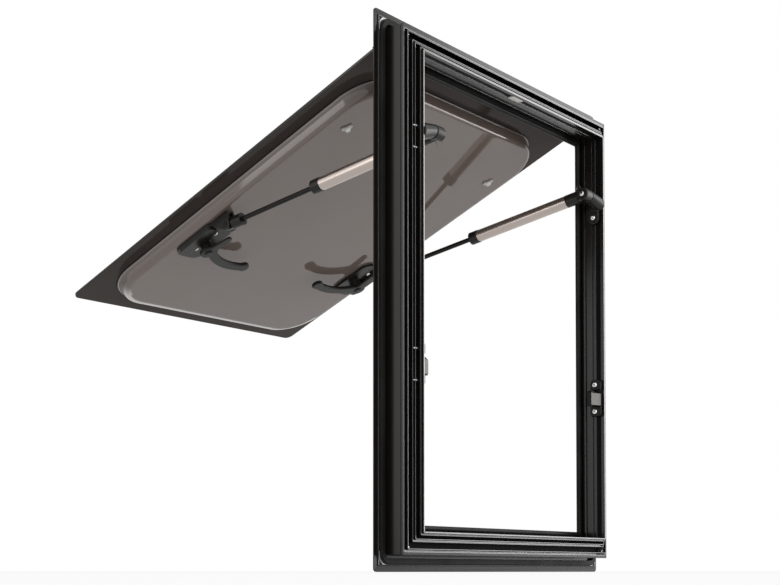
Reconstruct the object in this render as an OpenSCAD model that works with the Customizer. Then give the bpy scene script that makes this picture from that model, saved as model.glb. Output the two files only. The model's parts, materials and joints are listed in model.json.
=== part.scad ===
/* [Frame] */
// Width over the outside flange
flange_w = 484; // [440:2:560]
// Height over the outside flange
flange_h = 590; // [560:2:680]
// Thickness of the outside flange
flange_t = 1.6; // [1.2:0.1:2.5]
// Width of the flange, from its edge to the liner that enters the wall
seat_w = 18; // [16:0.5:20]
// Height above the flange's bottom edge of the point where the frame is placed
seat_inset = 4.5; // [3:0.5:6]
// Outer corner radius of the flange
flange_r = 5; // [2:0.5:6]
// Depth of the liner that enters the wall
liner_depth = 24; // [20:1:26]
// Wall thickness of the liner
liner_t = 2; // [1.5:0.5:2.5]
// Height of the rubber gasket on the flange's back
gasket_h = 4.5; // [3:0.5:6]
// Outer corner radius of the rubber gasket
gasket_r = 14; // [10:1:18]
// Total depth of the frame behind the flange
frame_depth = 35; // [34:1:40]
// Distance from the flange's edge to the inner face of the jambs
jamb_inset = 42; // [40:1:44]
// Wall thickness of the inner frame
jamb_t = 1.8; // [1.4:0.1:2.4]
// Radius of the seal's bulb
bulb_r = 3; // [2.5:0.1:3.4]
// Corner radius of the seal's inner edge
seal_r = 4; // [3.5:0.5:8]

/* [Sash] */
// Distance from the flange's side edge to the outer pane's side edge
pane_inset = 32; // [30:1:42]
// Distance from the hinge axis to the bottom edge of the outer pane
pane_reach = 531; // [525:1:540]
// Thickness of the outer pane
pane_t = 3; // [2.5:0.5:4]
// Corner radius of the outer pane
pane_r = 9; // [6:1:14]
// Depth of the inner pane's raised panel
pan_depth = 16; // [14:0.5:16]
// Thickness of the inner pane
pan_t = 2; // [1.5:0.5:3]
// Distance from the outer pane's side and bottom edges to the raised panel's foot
pan_margin = 24; // [24:1:34]
// Distance from the outer pane's top edge to the raised panel's foot
pan_top_margin = 34; // [34:1:44]
// Corner radius of the raised panel
pan_r = 55; // [40:1:70]
// Gap between the closed pane and the seal
seal_gap = 0.4; // [0.3:0.1:1]
// Distance of the vent plugs from the outer pane's side edges
plug_inset = 60; // [50:1:90]
// Distance of the vent plugs below the hinge axis
plug_drop = 118; // [100:1:140]

/* [Hinge] */
// How far the hinge axis stands out from the flange's back face
hinge_y = 7; // [6.9:0.1:8]
// Distance from the flange's top edge to the hinge axis
hinge_drop = 20; // [18:0.5:24]
// Radius of the bead that turns in the hinge rail
bead_r = 3.4; // [3:0.1:3.5]
// Radial clearance between the bead and the rail
bead_gap = 0.1; // [0.05:0.05:0.2]
// Angle at which the sash stands open
open_angle = 64.8; // [60:0.1:66]

/* [Stays] */
// Distance from a jamb's inner face to the middle of the stay beside it
stay_inset = 34; // [33.5:0.5:36]
// Distance from the hinge axis down to the pivot on the frame
frame_pivot_drop = 100.5; // [98:0.5:103]
// Depth of the frame pivot behind the flange's back face
frame_pivot_depth = 27; // [25:0.5:27]
// Distance from the hinge axis to the pivot on the sash
sash_pivot_reach = 305; // [303:0.5:307]
// Height of the sash pivot above the outer pane's inner face
sash_pivot_rise = 29.5; // [29.5:0.1:30]
// Outer radius of the stay tube
tube_r = 7.75; // [7:0.25:7.75]
// Distance from the frame pivot to the end of the tube's cap
cap_reach = 171; // [160:1:172]
// Radius of the stay's rod
rod_r = 3; // [2.5:0.1:3.2]
// Radial clearance of the rod, the pivots and the piston
fit_gap = 0.06; // [0.03:0.01:0.09]

/* [Latches] */
// Distance from a jamb's inner face to the latch pivot beside it
latch_inset = 50; // [49:0.5:51]
// Distance from the stay's pivot on the sash down to the latch pivot
latch_drop = 52; // [50:0.5:54]
// Length of the lever's cam
cam_len = 35.5; // [34:0.5:36]
// How far the released cam leans inwards from straight up
cam_lean = 8; // [5:1:12]
// Gap between the closed cam and the plate that it lies on
cam_gap = 0.8; // [0.5:0.1:1]
// Thickness of the lever
lever_t = 5; // [4.5:0.5:5.5]
// Height of the lever above the outer pane's inner face
lever_rise = 28.5; // [28.5:0.5:29.5]
// Radius of the arc of the lever's handle
handle_arc_r = 78.5; // [70:0.5:85]
// Half of the handle's width
handle_half_w = 6; // [5:0.5:7]
// How far the catch block stands out from the jamb
catch_reach = 19; // [17:0.5:19]

/* [Hidden] */
$fn = 64;
eps = 0.01;
// Sides of the frame, in the order of a quarter turn each from the bottom
BOTTOM = 0;
RIGHT = 1;
TOP = 2;
LEFT = 3;
z_bottom = -seat_inset;
z_top = flange_h - seat_inset;
z_mid = (z_top + z_bottom) / 2;
jamb_x = flange_w / 2 - jamb_inset;
stay_x = jamb_x - stay_inset;
latch_x = jamb_x - latch_inset;
latch_reach = sash_pivot_reach + latch_drop;
pane_w = flange_w - 2 * pane_inset;
plug_x = pane_w / 2 - plug_inset;
// The seal's bulb stands at the inner edge of the front plate
plate_inset = jamb_inset + 2;
bulb_inset = plate_inset + bulb_r;
bulb_y = flange_t + 0.5 - bulb_r;
pane_closed_y = bulb_y + bulb_r + seal_gap;
hinge_z = z_top - hinge_drop;
// Heights on the sash are counted from the hinge axis, with +Y out of the window
pane_in_y = pane_closed_y - hinge_y;
pane_top = -8;
pan_y = pane_in_y - pan_depth;
// Stay pivots in the window's frame, with the sash standing open
pivot_y = -frame_pivot_depth;
pivot_z = hinge_z - frame_pivot_drop;
sash_pivot_y = pane_in_y - sash_pivot_rise;
open_y = hinge_y + sash_pivot_y * cos(open_angle) + sash_pivot_reach * sin(open_angle);
open_z = hinge_z + sash_pivot_y * sin(open_angle) - sash_pivot_reach * cos(open_angle);
stay_len = norm([open_y - pivot_y, open_z - pivot_z]);
stay_tilt = atan2(open_z - pivot_z, open_y - pivot_y);
// Rib on the flange's back, and the claw that holds the seal's foot
rib_u = 6.5;
rib_w = 1.2;
gasket_u = rib_u + rib_w + 0.2;
gasket_w = 6.4;
claw_u = jamb_inset - 5;
claw_t = 1.4;
knuckle_r = 8;
knuckle_len = 25;
spigot_end = 40;
tube_bore_r = tube_r - 1.2;
cap_r = tube_r + 0.5;
cap_wall = 9;
tube_end = cap_reach - cap_wall;
rod_start = 144;
rod_end_len = 23;
rod_end_r = 7.5;
eye_r = 7;
tongue_t = 6;
ear_gap = 0.5;
ear_t = 3.5;
pin_r = 3;
stay_half_w = 7.8;
lap_gap = 0.5;
// The cam is thinner than the lever, and closes behind the catch's wear plate
cam_recess = 2;
wear_t = 1;
cam_y = pane_closed_y - lever_rise - cam_recess;
wear_y = cam_y + cam_gap;
catch_z = hinge_z - latch_reach + cam_len * sin(cam_lean);
catch_h = 46;
catch_y0 = -18;
catch_w = 14.5;
catch_foot_t = 5;
block_w = 5.7;
block_h = 21;
lobe_r = 10.5;
tube_color = "#b9aea6";
black = "#1c1c1d";
dark = "#262627";

// Moves children from the sash's own frame to where the open sash carries them
module sash_pose() {
    translate([0, hinge_y, hinge_z])
        rotate([open_angle, 0, 0])
            children();
}

// Puts +Z along a stay, from the pivot on the frame to the pivot on the sash
module stay_pose(side) {
    translate([side * stay_x, pivot_y, pivot_z])
        rotate([stay_tilt - 90, 0, 0])
            children();
}

// Outline of a rounded rectangle about the origin
module round_rect(w, h, r) {
    square([w - 2 * r, h], center = true);
    square([w, h - 2 * r], center = true);
    for (x = [-1, 1], y = [-1, 1])
        translate([x * (w / 2 - r), y * (h / 2 - r)])
            circle(r);
}

// Flat plate in the XZ plane, from y0 towards +Y
module upright_plate(w, h, r, y0, t) {
    translate([0, y0 + t, 0])
        rotate([90, 0, 0])
            linear_extrude(t)
                round_rect(w, h, r);
}

// A bar of the frame's outline: the first coordinate runs in from the flange's edge
// and the second runs back from the flange, both ends mitred
module mitred_bar(points, side) {
    across = side == BOTTOM || side == TOP;
    len = across ? flange_w : flange_h;
    half = across ? flange_h / 2 : flange_w / 2;
    reach = 60;
    translate([0, 0, z_mid])
        rotate([0, -90 * side, 0])
            translate([0, 0, -half])
                intersection() {
                    rotate([0, 0, -90])
                        rotate([90, 0, 0])
                            translate([0, 0, -len / 2])
                                linear_extrude(len)
                                    polygon([for (p = points) [p[1], p[0]]]);
                    translate([0, reach, 0])
                        rotate([90, 0, 0])
                            linear_extrude(2 * reach)
                                polygon([[-len / 2, 0], [len / 2, 0], [len / 2 - reach, reach],
                                    [reach - len / 2, reach]]);
                }
}

// Flange with its rib, the liner that enters the wall, and the claw that holds the seal
module outer_bar(side) {
    rib_h = 1.2;
    claw_h = 3;
    edge = 0.6;
    lip = 0.7;
    lip_d = 2.2;
    liner_u = seat_w + liner_t;
    color(black)
        intersection() {
            mitred_bar([[edge, -flange_t], [plate_inset, -flange_t], [plate_inset, 0],
                [claw_u + claw_t, 0], [claw_u + claw_t, claw_h], [claw_u, claw_h], [claw_u, 0],
                [liner_u, 0], [liner_u, liner_depth], [seat_w - lip, liner_depth],
                [seat_w - lip, liner_depth - lip_d], [seat_w, liner_depth - lip_d - lip],
                [seat_w, 0], [rib_u + rib_w, 0], [rib_u + rib_w, rib_h], [rib_u, rib_h],
                [rib_u, 0], [0, 0], [0, edge - flange_t]], side);
            translate([0, 0, z_mid])
                upright_plate(flange_w, flange_h, flange_r, -liner_depth - 1,
                    liner_depth + flange_t + 2);
        }
}

module outer_frame_bottom() { outer_bar(BOTTOM); }
module outer_frame_right() { outer_bar(RIGHT); }
module outer_frame_top() { outer_bar(TOP); }
module outer_frame_left() { outer_bar(LEFT); }

// Rubber strip round the flange's back, bent round the corners, that beds on the wall
module wall_gasket() {
    w = flange_w - 2 * gasket_u;
    h = flange_h - 2 * gasket_u;
    crown = 0.6;
    color("#2b2b2c")
        translate([0, 0, z_mid])
            difference() {
                union() {
                    upright_plate(w, h, gasket_r, crown - gasket_h, gasket_h - crown);
                    upright_plate(w - 2 * crown, h - 2 * crown, gasket_r - crown, -gasket_h, gasket_h);
                }
                upright_plate(w - 2 * gasket_w, h - 2 * gasket_w, gasket_r - gasket_w,
                    -gasket_h - 1, gasket_h + 2);
            }
}

// Jamb wall, with the stepped lips and channels between it and the liner
module inner_bar(side) {
    fin_t = 1.1;
    web = 1.5;
    floor_d = 16;
    u0 = seat_w + liner_t;
    u1 = jamb_inset;
    wall_u = u1 - jamb_t;
    front_d = 4;
    groove = 0.8;
    // Lips, counted from the liner inwards: distance in from the liner, and depth
    lip_a = u0 + 3.2;
    lip_a_d = liner_depth + 2.6;
    lip_b = u0 + 11;
    lip_b_d = liner_depth + 3.2;
    lip_c = u0 + 13.6;
    lip_c_d = liner_depth + 5;
    bridge_d = liner_depth + 1;
    lip_e = u1 - 4;
    lip_e_d = frame_depth - 2.2;
    shelf_d = frame_depth - 4.8;
    face_d = [8.6, 10.4, 18.8, 19.8, 23.6, 30.2];
    color(black)
        mitred_bar([[u0, floor_d], [wall_u, floor_d], [wall_u, front_d], [u1, front_d],
            [u1, face_d[0]], [u1 - groove, face_d[0]], [u1 - groove, face_d[1]],
            [u1, face_d[1]], [u1, face_d[2]], [u1 - groove, face_d[2]],
            [u1 - groove, face_d[3]], [u1, face_d[3]], [u1, face_d[4]],
            [u1 - groove, face_d[4]], [u1 - groove, face_d[5]], [u1, face_d[5]],
            [u1, frame_depth], [wall_u, frame_depth], [wall_u, shelf_d + fin_t],
            [lip_e + fin_t, shelf_d + fin_t], [lip_e + fin_t, lip_e_d], [lip_e, lip_e_d],
            [lip_e, shelf_d], [wall_u, shelf_d], [wall_u, floor_d + web],
            [lip_c + fin_t, floor_d + web], [lip_c + fin_t, lip_c_d], [lip_c, lip_c_d],
            [lip_c, bridge_d], [lip_b + fin_t, bridge_d], [lip_b + fin_t, lip_b_d],
            [lip_b, lip_b_d], [lip_b, floor_d + web], [lip_a + fin_t, floor_d + web],
            [lip_a + fin_t, lip_a_d], [lip_a, lip_a_d], [lip_a, floor_d + web],
            [u0 + web, floor_d + web], [u0 + web, liner_depth], [u0, liner_depth]], side);
}

module inner_frame_bottom() { inner_bar(BOTTOM); }
module inner_frame_right() { inner_bar(RIGHT); }
module inner_frame_top() { inner_bar(TOP); }
module inner_frame_left() { inner_bar(LEFT); }

// Bright corner pieces: slivers beside the gasket's corners and curved keys in the channel
module corner_cleats() {
    cleat_t = 1.5;
    cleat_w = 2.4;
    cleat_u = rib_u + rib_w;
    leg = gasket_u + gasket_r - cleat_u;
    key_u = seat_w + liner_t + 5;
    key_w = 5.4;
    key_r = 4;
    key_d = 17.5;
    key_h = 6;
    color("silver")
        for (x = [-1, 1], z = [-1, 1]) {
            translate([x * (flange_w / 2 - cleat_u), 0, z_mid + z * (flange_h / 2 - cleat_u)])
                scale([x, 1, z])
                    difference() {
                        intersection() {
                            translate([-leg, -cleat_t, -leg])
                                cube([leg, cleat_t, leg]);
                            translate([-leg, 0, -leg])
                                rotate([90, 0, 0])
                                    cylinder(r = gasket_r + cleat_w, h = cleat_t);
                        }
                        translate([-leg, 1, -leg])
                            rotate([90, 0, 0])
                                cylinder(r = gasket_r, h = cleat_t + 2);
                    }
            translate([x * (flange_w / 2 - key_u), 0, z_mid + z * (flange_h / 2 - key_u)])
                scale([x, 1, z])
                    translate([-key_w, -key_d - key_h, -key_w])
                        difference() {
                            cube([key_w, key_h, key_w]);
                            translate([0, key_h + 1, 0])
                                rotate([90, 0, 0])
                                    cylinder(r = key_r, h = key_h + 2);
                        }
        }
}

// Bulb seal on the inner edge of the front plate, with rounded corners
module frame_seal() {
    w = flange_w - 2 * bulb_inset;
    h = flange_h - 2 * bulb_inset;
    r = seal_r;
    foot_u = claw_u + claw_t;
    foot_t = 1.5;
    color("#2b2b2c")
        translate([0, 0, z_mid])
            difference() {
                upright_plate(flange_w - 2 * foot_u, flange_h - 2 * foot_u, 2, -foot_t, foot_t);
                upright_plate(w, h, r, -foot_t - 1, foot_t + 2);
            }
    color("#2b2b2c")
        translate([0, bulb_y, z_mid]) {
            for (x = [-1, 1])
                translate([x * w / 2, 0, -(h / 2 - r)])
                    cylinder(r = bulb_r, h = h - 2 * r);
            for (z = [-1, 1])
                translate([-(w / 2 - r), 0, z * h / 2])
                    rotate([0, 90, 0])
                        cylinder(r = bulb_r, h = w - 2 * r);
            for (x = [-1, 1], z = [-1, 1])
                translate([x * (w / 2 - r), 0, z * (h / 2 - r)])
                    scale([x, 1, z])
                        rotate([90, 0, 0])
                            rotate_extrude(angle = 90)
                                translate([r, 0])
                                    circle(bulb_r);
        }
}

// Socket rail that the sash's bead turns in, open towards the sash's swing
module hinge_rail() {
    socket_r = bead_r + bead_gap;
    rail_r = socket_r + 1.5;
    len = pane_w + 12;
    mouth_low = -112;
    mouth_high = -4;
    color(dark)
        translate([-len / 2, hinge_y, hinge_z])
            difference() {
                union() {
                    rotate([0, 90, 0])
                        cylinder(r = rail_r, h = len);
                    translate([0, flange_t - hinge_y, -2])
                        cube([len, hinge_y - flange_t, 2 + rail_r]);
                    translate([0, flange_t - hinge_y, -2])
                        cube([len, 1.6, 15]);
                }
                translate([-1, 0, 0])
                    rotate([0, 90, 0])
                        cylinder(r = socket_r, h = len + 2);
                translate([-1, 0, 0])
                    rotate([90, 0, 90])
                        linear_extrude(len + 2)
                            polygon([[0, 0], 12 * [cos(mouth_low), sin(mouth_low)],
                                16 * [cos(-60), sin(-60)],
                                12 * [cos(mouth_high), sin(mouth_high)]]);
            }
}

// Small clip in the groove of the top rail
module rail_clip() {
    clip_x = 40;
    clip_size = [22, 3, 3];
    clip_d = 30;
    color("#b5b2ad")
        translate([clip_x, -clip_d, z_top - jamb_inset + jamb_t])
            cube(clip_size);
}

// Catch on a jamb: a foot with two screw pads and a block that the cam pulls against
module catch_shape(side) {
    pad_h = (catch_h - block_h) / 2;
    thin = 2;
    screw_y = 6.3;
    screw_hole_r = 1.9;
    block_chamfer = 4;
    corner = 2.5;
    block_y = catch_y0 - wear_y - wear_t - block_w;
    color(black)
        translate([side * jamb_x, catch_y0, catch_z])
            scale([-side, -1, 1]) {
                translate([0, 0, -catch_h / 2])
                    cube([thin, catch_w, catch_h]);
                for (z = [-1, 1])
                    scale([1, 1, z])
                        translate([0, 0, block_h / 2])
                            difference() {
                                rotate([90, 0, 90])
                                    linear_extrude(catch_foot_t)
                                        polygon([[0, 0], [catch_w, 0], [catch_w, pad_h - corner],
                                            [catch_w - corner, pad_h], [corner, pad_h],
                                            [0, pad_h - corner]]);
                                translate([0, screw_y, pad_h / 2])
                                    rotate([0, 90, 0])
                                        cylinder(r = screw_hole_r, h = catch_foot_t + 1);
                            }
                translate([0, block_y, -block_h / 2])
                    rotate([90, 0, 0])
                        translate([0, 0, -block_w])
                            linear_extrude(block_w)
                                polygon([[0, 0], [catch_reach, 0], [catch_reach, block_h - block_chamfer],
                                    [catch_reach - block_chamfer, block_h - block_chamfer / 2],
                                    [0, block_h]]);
            }
}

module catch_left() { catch_shape(-1); }
module catch_right() { catch_shape(1); }

// Steel plate on the room side of the catch block, which the cam slides on
module wear_plate(side) {
    wear_edge = 0.8;
    wear_h = 15;
    low = 1;
    color("#9a9a96")
        translate([side * (jamb_x - catch_foot_t - wear_edge), wear_y, catch_z - block_h / 2 + low])
            scale([-side, 1, 1])
                cube([catch_reach - catch_foot_t - 2 * wear_edge, wear_t, wear_h]);
}

module wear_plate_left() { wear_plate(-1); }
module wear_plate_right() { wear_plate(1); }

// Bracket that carries a stay's pivot inwards from the jamb, its barrel flared to the foot
module stay_bracket(side) {
    foot_t = 6;
    foot_w = 14;
    foot_shift = 3.5;
    foot_low = 24.5;
    screw_drop = 23;
    screw_hole_r = 1.9;
    barrel_drop = 6;
    barrel_root = 10;
    barrel_tip = 7.6;
    lap_x = stay_x + stay_half_w + lap_gap;
    color(black)
        translate([side * jamb_x, pivot_y, pivot_z])
            scale([-side, 1, 1])
                difference() {
                    union() {
                        translate([0, foot_shift - foot_w / 2, -foot_low])
                            cube([foot_t, foot_w, foot_low]);
                        translate([0, foot_shift, -foot_low])
                            rotate([0, 90, 0])
                                cylinder(r = foot_w / 2, h = foot_t);
                        hull() {
                            translate([0, 0, -barrel_drop])
                                rotate([0, 90, 0])
                                    cylinder(r = barrel_root, h = 1);
                            translate([jamb_x - lap_x - 1, 0, 0])
                                rotate([0, 90, 0])
                                    cylinder(r = barrel_tip, h = 1);
                        }
                    }
                    translate([-1, foot_shift, -screw_drop])
                        rotate([0, 90, 0])
                            cylinder(r = screw_hole_r, h = foot_t + 2);
                }
}

module stay_bracket_left() { stay_bracket(-1); }
module stay_bracket_right() { stay_bracket(1); }

// Outer pane: a flat sheet hung from the hinge strip
module outer_pane() {
    h = pane_reach + pane_top;
    color([0.30, 0.28, 0.27, 0.9])
        sash_pose()
            translate([0, 0, pane_top - h / 2])
                upright_plate(pane_w, h, pane_r, pane_in_y, pane_t);
}

// One slab of the raised panel's form, at a depth behind the outer pane
module pan_slab(inset, depth, t) {
    w = pane_w - 2 * (pan_margin + inset);
    z_hi = pane_top - pan_top_margin - inset;
    z_lo = -pane_reach + pan_margin + inset;
    translate([0, 0, (z_hi + z_lo) / 2])
        upright_plate(w, z_hi - z_lo, pan_r - inset, pane_in_y - depth, t);
}

// Inner pane: a thin formed pan with sloping sides and a flat rim
module inner_pane() {
    slope = 4;
    rim = 4;
    color([0.49, 0.46, 0.45, 0.9])
        sash_pose() {
            difference() {
                hull() {
                    pan_slab(0, 1, 1);
                    pan_slab(slope, pan_depth, 1);
                }
                hull() {
                    pan_slab(pan_t, -1, 1);
                    pan_slab(slope + pan_t, pan_depth - pan_t, 1);
                }
            }
            difference() {
                pan_slab(-rim, pan_t / 2, pan_t / 2);
                pan_slab(pan_t, pan_t, pan_t + 1);
            }
        }
}

// Metal strip on the outer pane's top edge, with the bead that turns in the rail
module hinge_strip() {
    neck_t = 1.6;
    cover_t = 1.5;
    cover_h = 16;
    face_y = pane_in_y + pane_t;
    color(dark)
        sash_pose()
            translate([-pane_w / 2, 0, 0]) {
                rotate([0, 90, 0])
                    cylinder(r = bead_r, h = pane_w);
                translate([0, -neck_t / 2, pane_top + eps])
                    cube([pane_w, neck_t, -pane_top - 2]);
                translate([0, face_y, pane_top - cover_h + 3])
                    cube([pane_w, cover_t, cover_h]);
                translate([0, face_y, pane_top + eps])
                    cube([pane_w, neck_t / 2 - face_y, 3 - eps]);
            }
}

// Lobed plugs that close the air gap's vents
module vent_plugs() {
    plug_r = 4.5;
    lobe_r = 3;
    plug_h = 2;
    color("#d8d6d2")
        sash_pose()
            for (x = [-1, 1])
                translate([x * plug_x, pan_y, -plug_drop])
                    rotate([90, 0, 0])
                        linear_extrude(plug_h) {
                            circle(plug_r);
                            for (a = [90, 210, 330])
                                translate(plug_r * [cos(a), sin(a)])
                                    circle(lobe_r);
                        }
}

// Housing on the sash: a plate with two screws, a raised part, the stay's fork and a boss
module latch_base(side) {
    top_y = pane_in_y - lever_rise + 0.5;
    fork_x = tongue_t / 2 + ear_gap;
    plate_shift = 4.5;
    plate_x = latch_x + plate_shift;
    plate_drop = latch_reach - 4;
    plate_w = 43;
    plate_h = 70;
    plate_rise = 3.5;
    plate_r = 14;
    housing_rise = 7.5;
    housing_w = 17;
    housing_h = 54;
    housing_r = 5;
    screw_drops = [latch_reach - 22, latch_reach + 12];
    screw_hole_r = 1.9;
    boss_root = 7.5;
    ear_drop = 17;
    ear_flare = 2;
    ear_foot = 4;
    housing_shift = 0.5;
    pin_depth = 9;
    color(black)
        sash_pose()
            scale([side, 1, 1])
                difference() {
                    union() {
                        translate([plate_x, pan_y, -plate_drop])
                            rotate([90, 0, 0])
                                linear_extrude(plate_rise)
                                    round_rect(plate_w, plate_h, plate_r);
                        translate([stay_x + housing_shift, pan_y, -plate_drop])
                            rotate([90, 0, 0])
                                linear_extrude(housing_rise)
                                    round_rect(housing_w, housing_h, housing_r);
                        translate([latch_x, pan_y, -latch_reach])
                            rotate([90, 0, 0])
                                cylinder(r = boss_root, h = pan_y - top_y);
                        for (e = [-1, 1])
                            translate([stay_x + e * (fork_x + ear_t / 2) - ear_t / 2,
                                sash_pivot_y, -sash_pivot_reach]) {
                                rotate([0, 90, 0])
                                    cylinder(r = eye_r, h = ear_t);
                                rotate([90, 0, 90])
                                    linear_extrude(ear_t)
                                        polygon([[0, eye_r], [pan_y - sash_pivot_y, eye_r + ear_flare],
                                            [pan_y - sash_pivot_y, -ear_drop - ear_foot],
                                            [eye_r, -ear_drop], [-eye_r * cos(45), -eye_r * sin(45)]]);
                            }
                    }
                    translate([0, sash_pivot_y, -sash_pivot_reach])
                        rotate([0, 90, 0])
                            cylinder(r = pin_r, h = 2 * stay_x);
                    for (drop = screw_drops)
                        translate([plate_x, pan_y + 1, -drop])
                            rotate([90, 0, 0])
                                cylinder(r = screw_hole_r, h = plate_rise + 2);
                    translate([latch_x, top_y - 1, -latch_reach])
                        rotate([-90, 0, 0])
                            cylinder(r = pin_r, h = pin_depth);
                }
}

module latch_base_left() { latch_base(-1); }
module latch_base_right() { latch_base(1); }

// Pin through the fork and the eye of the stay's rod end
module stay_pin(side) {
    half = tongue_t / 2 + ear_gap + ear_t;
    color("silver")
        sash_pose()
            translate([side * stay_x - half, sash_pivot_y, -sash_pivot_reach])
                rotate([0, 90, 0])
                    cylinder(r = pin_r, h = 2 * half);
}

module stay_pin_left() { stay_pin(-1); }
module stay_pin_right() { stay_pin(1); }

// Pivot of the lever, with a low head over its hub
module lever_pin(side) {
    lever_top = pane_in_y - lever_rise - lever_t;
    head_gap = 0.3;
    pin_seat = 8.5;
    color(black)
        sash_pose()
            translate([side * latch_x, lever_top - head_gap, -latch_reach])
                rotate([-90, 0, 0]) {
                    cylinder(r = pin_r, h = lever_t + head_gap + pin_seat);
                    translate([0, 0, -1.4])
                        cylinder(r1 = 4.6, r2 = 5.6, h = 1.4);
                }
}

module lever_pin_left() { lever_pin(-1); }
module lever_pin_right() { lever_pin(1); }

// Lever: a lobed hub, a thin cam and a curved handle with a rounded end
module lever(side) {
    top_y = pane_in_y - lever_rise - lever_t;
    arc_side = 52;
    arc_rise = 64;
    arc_x = latch_x - arc_side;
    arc_drop = latch_reach - arc_rise;
    arc_from = -54;
    arc_to = -107;
    arc_steps = 20;
    arc_angles = [for (i = [0:arc_steps]) arc_to + (arc_from - arc_to) * i / arc_steps];
    outer_r = handle_arc_r + handle_half_w;
    inner_r = handle_arc_r - handle_half_w;
    cam_root = 7;
    cam_tip = 4.6;
    bulb = 1.6;
    color(black)
        sash_pose()
            scale([side, 1, 1])
                translate([0, top_y, 0])
                    rotate([-90, 0, 0])
                        difference() {
                            union() {
                                translate([latch_x, latch_reach, 0])
                                    cylinder(r = lobe_r, h = lever_t);
                                translate([latch_x, latch_reach, 0])
                                    rotate([0, 0, 180 - cam_lean])
                                        linear_extrude(lever_t - cam_recess)
                                            polygon([[-cam_root, 0], [cam_root, 0],
                                                [cam_tip, cam_len - 2.5], [2, cam_len],
                                                [-2, cam_len], [-cam_tip, cam_len - 2.5]]);
                                translate([arc_x, arc_drop, 0])
                                    linear_extrude(lever_t)
                                        polygon(concat(
                                            [for (a = arc_angles) outer_r * [cos(a), -sin(a)]],
                                            [for (i = [arc_steps:-1:0])
                                                inner_r * [cos(arc_angles[i]), -sin(arc_angles[i])]]));
                                translate([arc_x + handle_arc_r * cos(arc_to),
                                    arc_drop - handle_arc_r * sin(arc_to), 0])
                                    cylinder(r = handle_half_w + bulb, h = lever_t);
                            }
                            translate([latch_x, latch_reach, -1])
                                cylinder(r = pin_r + fit_gap, h = lever_t + 2);
                        }
}

module lever_left() { lever(-1); }
module lever_right() { lever(1); }

// Rod that slides in the tube, with its piston
module stay_rod(side) {
    piston_l = 6;
    color(dark)
        stay_pose(side) {
            translate([0, 0, rod_start])
                cylinder(r = rod_r, h = stay_len - rod_end_len + 4 - rod_start);
            translate([0, 0, rod_start])
                cylinder(r = tube_bore_r - fit_gap, h = piston_l);
        }
}

module stay_rod_left() { stay_rod(-1); }
module stay_rod_right() { stay_rod(1); }

// Fitting on the rod, with the eye that turns on the sash's pin
module rod_end(side) {
    body_l = rod_end_len - eye_r - 1.5;
    color(black)
        stay_pose(side)
            difference() {
                union() {
                    translate([0, 0, stay_len - rod_end_len])
                        cylinder(r = rod_end_r, h = body_l);
                    translate([-tongue_t / 2, -eye_r + 0.5, stay_len - rod_end_len + 2])
                        cube([tongue_t, 2 * eye_r - 1, rod_end_len - 2]);
                    translate([-tongue_t / 2, 0, stay_len])
                        rotate([0, 90, 0])
                            cylinder(r = eye_r - 0.5, h = tongue_t);
                }
                translate([-tongue_t, 0, stay_len])
                    rotate([0, 90, 0])
                        cylinder(r = pin_r + fit_gap, h = 2 * tongue_t);
                translate([0, 0, stay_len - rod_end_len - 1])
                    cylinder(r = rod_r, h = 5);
            }
}

module rod_end_left() { rod_end(-1); }
module rod_end_right() { rod_end(1); }

// Drawn tube of the stay
module stay_tube(side) {
    color(tube_color)
        stay_pose(side)
            difference() {
                translate([0, 0, knuckle_len])
                    cylinder(r = tube_r, h = tube_end - knuckle_len);
                translate([0, 0, knuckle_len - 1])
                    cylinder(r = tube_bore_r, h = tube_end - knuckle_len + 2);
            }
}

module stay_tube_left() { stay_tube(-1); }
module stay_tube_right() { stay_tube(1); }

// Cap on the tube's end that guides the rod
module stay_cap(side) {
    skirt = 3;
    color(black)
        stay_pose(side)
            difference() {
                translate([0, 0, tube_end - skirt])
                    cylinder(r = cap_r, h = cap_wall + skirt);
                translate([0, 0, tube_end - skirt - 1])
                    cylinder(r = tube_r, h = skirt + 1);
                translate([0, 0, tube_end - 1])
                    cylinder(r = rod_r + fit_gap, h = cap_wall + 2);
            }
}

module stay_cap_left() { stay_cap(-1); }
module stay_cap_right() { stay_cap(1); }

// End piece of the tube, which lies beside the bracket's barrel at the frame pivot
module stay_knuckle(side) {
    color(black)
        stay_pose(side) {
            cylinder(r = knuckle_r, h = knuckle_len);
            cylinder(r = tube_bore_r, h = spigot_end);
            translate([-stay_half_w, 0, 0])
                rotate([0, 90, 0])
                    cylinder(r = knuckle_r, h = 2 * stay_half_w);
        }
}

module stay_knuckle_left() { stay_knuckle(-1); }
module stay_knuckle_right() { stay_knuckle(1); }

outer_frame_bottom();
outer_frame_right();
outer_frame_top();
outer_frame_left();
wall_gasket();
inner_frame_bottom();
inner_frame_right();
inner_frame_top();
inner_frame_left();
corner_cleats();
frame_seal();
hinge_rail();
rail_clip();
catch_left();
catch_right();
wear_plate_left();
wear_plate_right();
stay_bracket_left();
stay_bracket_right();
outer_pane();
inner_pane();
hinge_strip();
vent_plugs();
latch_base_left();
latch_base_right();
stay_pin_left();
stay_pin_right();
lever_pin_left();
lever_pin_right();
lever_left();
lever_right();
stay_rod_left();
stay_rod_right();
rod_end_left();
rod_end_right();
stay_tube_left();
stay_tube_right();
stay_cap_left();
stay_cap_right();
stay_knuckle_left();
stay_knuckle_right();
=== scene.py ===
import json
import math
import bpy
import bmesh
from mathutils import Matrix, Vector


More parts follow.
